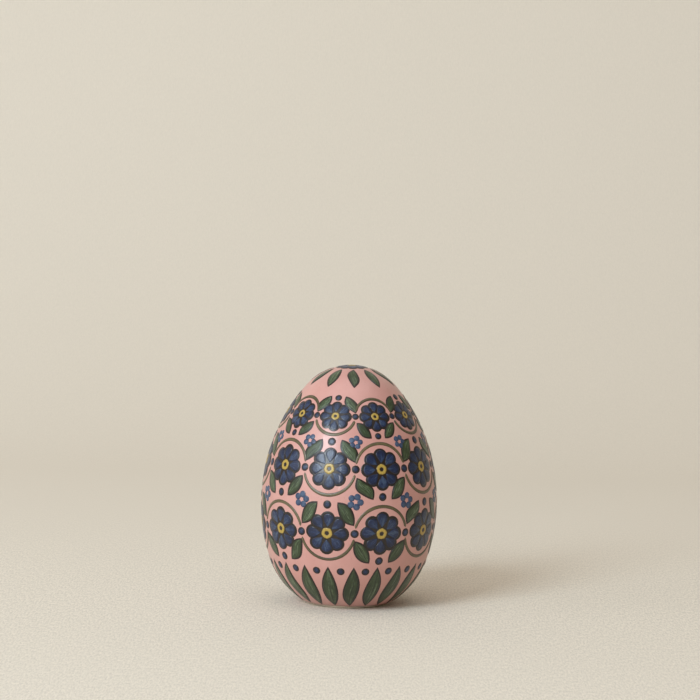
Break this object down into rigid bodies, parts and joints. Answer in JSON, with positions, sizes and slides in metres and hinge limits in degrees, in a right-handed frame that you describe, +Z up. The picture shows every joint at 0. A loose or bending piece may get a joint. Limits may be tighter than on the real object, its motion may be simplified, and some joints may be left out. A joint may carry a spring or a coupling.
{
  "type": "ceramic egg",
  "caption": "Hollow glazed ceramic egg that stands on a small flat foot, with raised enamel garlands of blossoms, leaves and berries on a pink ground.",
  "frame": {"origin": "centre of the foot ring, on the surface that the egg stands on", "axes": "+Z up through the tip; -Y faces the viewer of the picture"},
  "size_m": [0.049, 0.0492, 0.0663],
  "materials": {
    "fired_clay": "matt white fired clay",
    "pink_glaze": "gloss pink glaze",
    "clear_glaze": "gloss clear glaze",
    "outline_enamel": "dark brown enamel",
    "vine_enamel": "olive brown enamel",
    "leaf_enamel": "gloss green enamel",
    "petal_enamel": "gloss deep blue enamel",
    "bud_enamel": "gloss pale blue enamel",
    "berry_enamel": "gloss blue enamel",
    "yellow_enamel": "gloss yellow enamel"
  },
  "bodies": {
    "root": {"cast_body": "fired_clay", "ground_glaze": "pink_glaze", "base_glaze": "clear_glaze", "border_outlines": "outline_enamel", "border_leaves": "leaf_enamel", "border_berries": "berry_enamel", "lower_outlines": "outline_enamel", "lower_vine": "vine_enamel", "lower_leaves": "leaf_enamel", "lower_berries": "berry_enamel", "lower_petals": "petal_enamel", "lower_centres": "yellow_enamel", "lower_buds": "bud_enamel", "middle_outlines": "outline_enamel", "middle_vine": "vine_enamel", "middle_leaves": "leaf_enamel", "middle_berries": "berry_enamel", "middle_petals": "petal_enamel", "middle_centres": "yellow_enamel", "middle_buds": "bud_enamel", "upper_outlines": "outline_enamel", "upper_vine": "vine_enamel", "upper_leaves": "leaf_enamel", "upper_berries": "berry_enamel", "upper_petals": "petal_enamel", "upper_centres": "yellow_enamel", "crown_outlines": "outline_enamel", "crown_leaves": "leaf_enamel", "crown_petals": "petal_enamel", "crown_centre": "yellow_enamel"}
  },
  "joints": []
}
